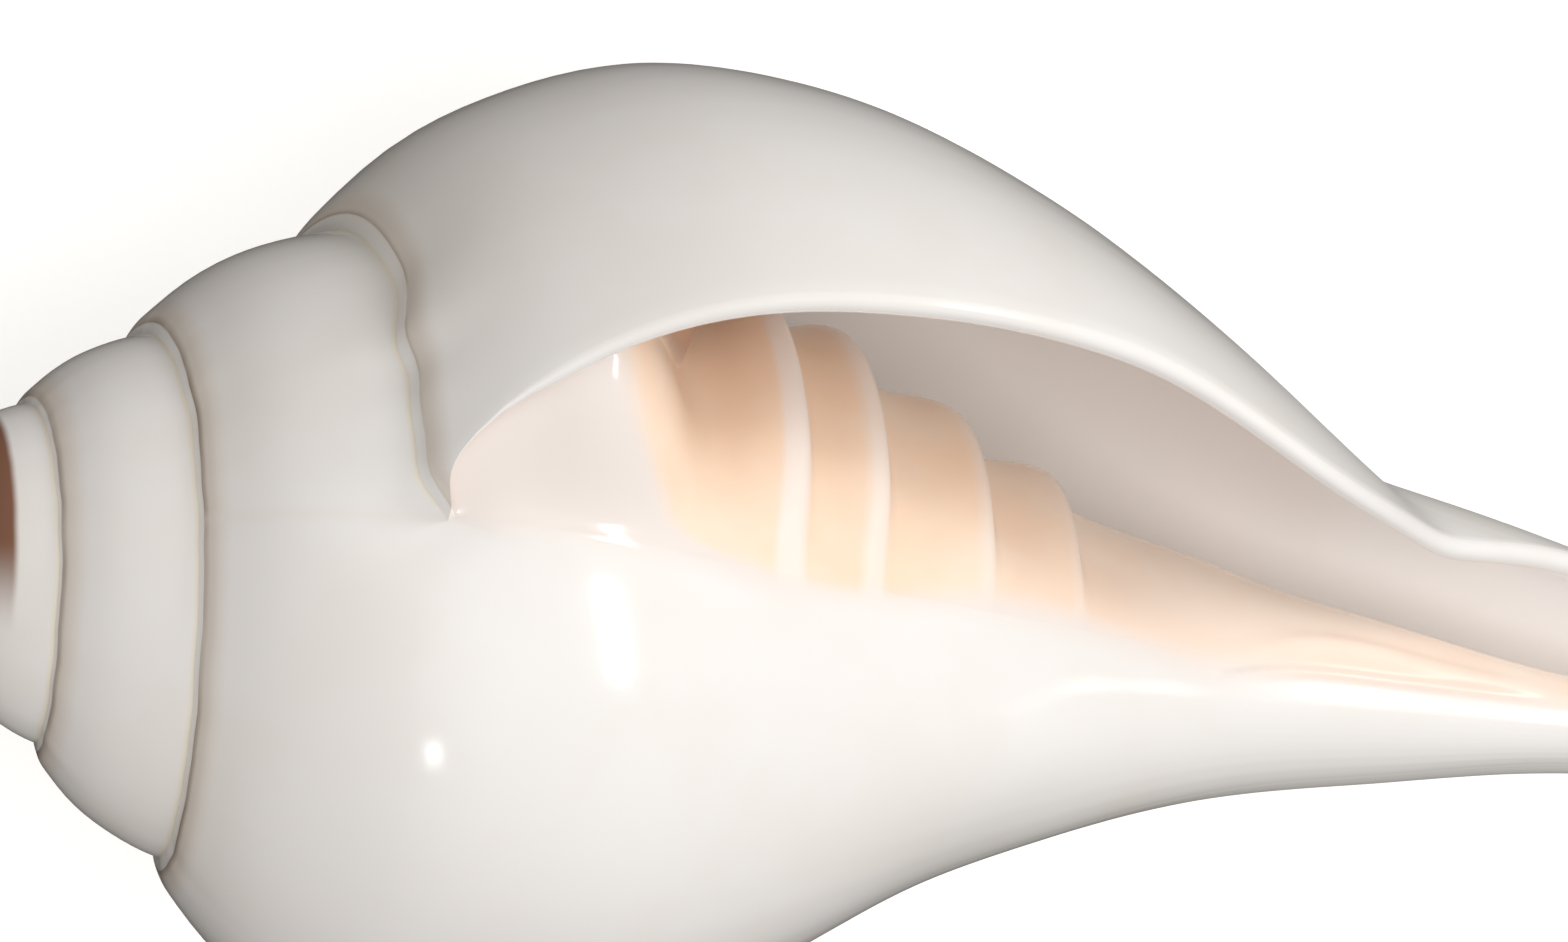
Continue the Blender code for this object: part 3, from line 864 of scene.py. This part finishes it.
for result, operation, *terms in COILING:
    terms = {place: worked.get(term, term) for place, term in enumerate(terms)}
    worked[result] = add_node(coil, MATHS, terms, operation=operation)[0]
coiled = add_node(
    coil, "ShaderNodeCombineXYZ",
    {0: worked["along table"], 1: worked["to side"], 2: worked["above table"]})[0]
in_metres = add_node(coil, "ShaderNodeVectorMath", {0: coiled, "Scale": MM}, operation="SCALE")[0]
kept_angle = add_node(
    coil, "GeometryNodeStoreNamedAttribute",
    {"Geometry": given["Wall"], "Name": "growth_angle", "Value": angle_at},
    data_type="FLOAT", domain="POINT")[0]
placed = add_node(
    coil, "GeometryNodeSetPosition", {"Geometry": kept_angle, "Position": in_metres})[0]
smooth = add_node(coil, "GeometryNodeSetShadeSmooth", {"Geometry": placed})[0]
real = add_node(coil, "GeometryNodeRealizeInstances", {"Geometry": smooth})[0]
finished = add_node(
    coil, "GeometryNodeSetMaterial", {"Geometry": real, "Material": given["Finish"]})[0]
add_node(coil, "NodeGroupOutput", {0: finished})


# The polished surface
# Aragonite, ground smooth and buffed until it is hard and glossy like porcelain, a warm white with
# small crisp reflections. The polish thins out along the canal. Inside the mouth the shell is as it
# grew: a satin peach layer on the columella with pale fold crests. The hollow is painted a little
# darker the deeper it goes and darker still in its upper corner, which is painted shade, and it
# glows faintly of itself, which is painted light. A taupe band below each suture is painted shade.
# Dirt stays brown in the sutures, and the oldest whorls are darker brown near their sutures.

OUTSIDE_WHITE = "F5F3F1"
OUTSIDE_WARM = "F3F0EB"
CALLUS_WHITE = "F4EBE5"
PEACH = "FFE8D2"
PEACH_DEEP = "FEDFC4"
CREST_PALE = "FBF1EA"
# Painted shade deep in the hollow, and in its upper corner.
HOLLOW_PAINTED_SHADE = "F3ECE6"
CORNER_SHADE = "C29A80"
LIP_CREAM = "FBFAFB"
# Taupe painted shade just below each suture.
SUTURE_PAINTED_SHADE = "E4DACE"
SUTURE_BROWN = "7A5B48"
SUTURE_CREAM = "F6ECD6"
APEX_BROWN = "8A6350"
# The inside's faint glow of its own is painted light that brightens the hollow.
PAINTED_GLOW_COLOUR = "D8E4EC"
PAINTED_GLOW_STRENGTH = 0.1
CLOUD_SIZE = 14.0
ARAGONITE_IOR = 1.53
POLISHED_GLOSS = 0.5
PEACH_GLOSS = 0.05
POLISHED_ROUGHNESS = 0.15
SATIN_ROUGHNESS = 0.27
GROWN_ROUGHNESS = 0.46

# How far each part of the finish reaches: what it follows, where it is none and where it is full.
REACHES = {
    "warm cloud": ("cloudy", 0.35, 0.7),
    "peach cloud": ("cloudy", 0.35, 0.65),
    "dirt cloud": ("cloudy", 0.2, 0.7),
    "suture shade band": ("below_suture", 1.9, 0.3),
    "suture dirt": ("below_suture", 0.5, 0.05),
    "foot line": ("above_suture", 0.5, 0.1),
    "old whorls": ("growth_angle", -1035.0, -1075.0),
    "upper half": ("past middle", 0.6, -0.6),
    "apex": ("growth_angle", -1310.0, -1420.0),
    "deep": ("depth", 1.0, 14.0),
    "in corner": ("below_suture", 10.0, 5.0),
    "out of corner": ("below_suture", 5.0, 10.0),
    "less buffed": ("along shell", 24 * MM, 38 * MM),
}

# The colours from the lowest layer up: what a layer makes, what it covers, its own colour, where
# it lies and how much of it there is.
LAYERS = (
    ("outside", OUTSIDE_WHITE, OUTSIDE_WARM, "warm cloud", 1.0),
    # A taupe band fading down from each suture is painted shade on the riser, where the whorl laps
    # over the one before.
    ("outside", "outside", SUTURE_PAINTED_SHADE, "suture shade band", 0.8),
    ("outside", "outside", SUTURE_BROWN, "suture dirt", "dirt cloud"),
    ("outside", "outside", SUTURE_CREAM, "foot line", 0.7),
    # Darker brown on the upper half of the oldest whorls, along their sutures.
    ("outside", "outside", APEX_BROWN, "old whorls", "upper half"),
    ("outside", "outside", APEX_BROWN, "apex", 1.0),
    ("peach layer", PEACH, PEACH_DEEP, "peach cloud", 1.0),
    ("peach layer", "peach layer", CREST_PALE, "fold_crest", 0.85),
    ("pillar", CALLUS_WHITE, "peach layer", "peach", 1.0),
    # Painted shade: the hollow is painted darker the deeper it goes, and darker still in its upper
    # corner.
    ("hollow", LIP_CREAM, HOLLOW_PAINTED_SHADE, "deep", 1.0),
    ("hollow", "hollow", CORNER_SHADE, "in corner", 1.0),
    ("shell", "outside", "pillar", "glaze", 1.0),
    ("shell", "shell", "hollow", "inside", 1.0),
)

finish = bpy.data.materials.new("polished_aragonite")
finish.use_nodes = True
finish.cycles.emission_sampling = "NONE"
shades = finish.node_tree
surface = shades.nodes["Principled BSDF"]
surface.inputs["IOR"].default_value = ARAGONITE_IOR
surface.inputs["Emission Color"].default_value = linear(PAINTED_GLOW_COLOUR)

seen = {}
for note in (*NOTES, "growth_angle"):
    seen[note] = add_node(shades, "ShaderNodeAttribute", attribute_name=note)["Fac"]
object_place = add_node(shades, "ShaderNodeTexCoord")["Object"]
seen["along shell"] = add_node(shades, "ShaderNodeSeparateXYZ", {0: object_place})[0]
seen["cloudy"] = add_node(
    shades, "ShaderNodeTexNoise",
    {"Vector": object_place, "Scale": 1.0 / (CLOUD_SIZE * MM), "Detail": 3.0})[0]
seen["past middle"] = add_node(
    shades, MATHS, {0: seen["below_suture"], 1: seen["above_suture"]}, operation="SUBTRACT")[0]
for reach, (follows, none_at, full_at) in REACHES.items():
    seen[reach] = add_node(
        shades, FADE, {"Value": seen[follows], "From Min": none_at, "From Max": full_at},
        interpolation_type="SMOOTHSTEP")[0]

coloured = {}
for result, under, over, lies_at, how_much in LAYERS:
    amount = add_node(
        shades, MATHS, {0: seen[lies_at], 1: seen.get(how_much, how_much)},
        operation="MULTIPLY")[0]
    under, over = (coloured[c] if c in coloured else linear(c) for c in (under, over))
    coloured[result] = add_node(
        shades, "ShaderNodeMix", {0: amount, 6: under, 7: over}, data_type="RGBA")[2]

# Satin stays just under the roughness at which the renderer's noise filter would draw a line
# across the fading polish.
satin = add_node(
    shades, MATHS, {0: seen["peach"], 1: seen["less buffed"]}, operation="MAXIMUM")[0]
satin = add_node(
    shades, FADE, {"Value": satin, "To Min": POLISHED_ROUGHNESS, "To Max": SATIN_ROUGHNESS})[0]
roughness = add_node(
    shades, FADE, {"Value": seen["inside"], "To Min": satin, "To Max": GROWN_ROUGHNESS})[0]
gloss = add_node(
    shades, FADE, {"Value": seen["peach"], "To Min": POLISHED_GLOSS, "To Max": PEACH_GLOSS})[0]
# Painted light: the inside of the mouth glows faintly, except in its upper corner.
through = add_node(
    shades, MATHS, {0: seen["inside"], 1: seen["out of corner"]}, operation="MULTIPLY")[0]
through = add_node(shades, MATHS, {0: through, 1: PAINTED_GLOW_STRENGTH}, operation="MULTIPLY")[0]
shades.links.new(coloured["shell"], surface.inputs["Base Color"])
shades.links.new(roughness, surface.inputs["Roughness"])
shades.links.new(gloss, surface.inputs["Specular IOR Level"])
shades.links.new(through, surface.inputs["Emission Strength"])


# The finished shell
# The coiled wall is made solid: its canal's end and the deep end of its hollow are closed, the
# point of the spire is domed, and its back is rubbed flat where it has lain.

REST_FLAT_DEPTH = 0.55
APEX_HEIGHT = 0.9

shell = bpy.data.objects.new("chank_shell", wall_mesh)
bpy.context.scene.collection.objects.link(shell)
modifier = shell.modifiers.new("coil_the_wall", "NODES")
modifier.node_group = coil
for item in coil.interface.items_tree:
    if item.in_out == "INPUT" and item.name in COIL_SIZES:
        modifier[item.identifier] = COIL_SIZES[item.name]
    elif item.name == "Finish":
        modifier[item.identifier] = finish
bpy.context.view_layer.update()
coiled_now = shell.evaluated_get(bpy.context.evaluated_depsgraph_get())
coiled_shell = bpy.data.meshes.new_from_object(coiled_now)
shell.modifiers.remove(modifier)
shell.data = coiled_shell

body = bmesh.new()
body.from_mesh(coiled_shell)
loose = [vert for vert in body.verts if not vert.link_faces]
bmesh.ops.delete(body, geom=loose, context="VERTS")
open_edges = [edge for edge in body.edges if edge.is_boundary]
ends = bmesh.ops.holes_fill(body, edges=open_edges, sides=0)["faces"]
bmesh.ops.recalc_face_normals(body, faces=body.faces)
apex = min(ends, key=lambda face: face.calc_center_median().x)
bmesh.ops.triangulate(body, faces=[face for face in ends if face != apex], ngon_method="BEAUTY")
bmesh.ops.poke(body, faces=[apex], offset=APEX_HEIGHT * MM)
lowest = min(vert.co.z for vert in body.verts)
bmesh.ops.bisect_plane(
    body, geom=list(body.verts) + list(body.edges) + list(body.faces),
    plane_co=(0, 0, lowest + REST_FLAT_DEPTH * MM), plane_no=(0, 0, -1), clear_outer=True,
)
open_edges = [edge for edge in body.edges if edge.is_boundary]
flats = bmesh.ops.holes_fill(body, edges=open_edges, sides=0)["faces"]
bmesh.ops.triangulate(body, faces=flats)
for face in flats:
    face.smooth = False
places = np.array([vert.co for vert in body.verts])
middle = 0.5 * (places.min(0) + places.max(0))
cad_low, cad_high = (np.array(corner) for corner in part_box("shell"))
shift = 0.5 * (cad_low + cad_high) - middle
shift[2] = cad_low[2] - places[:, 2].min()
bmesh.ops.translate(body, verts=body.verts, vec=Vector(shift))
body.to_mesh(coiled_shell)
triangles = sum(len(face.verts) - 2 for face in body.faces)
print("triangles", triangles, "open edges", sum(edge.is_boundary for edge in body.edges))
body.free()
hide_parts("shell")
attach(shell, "root")
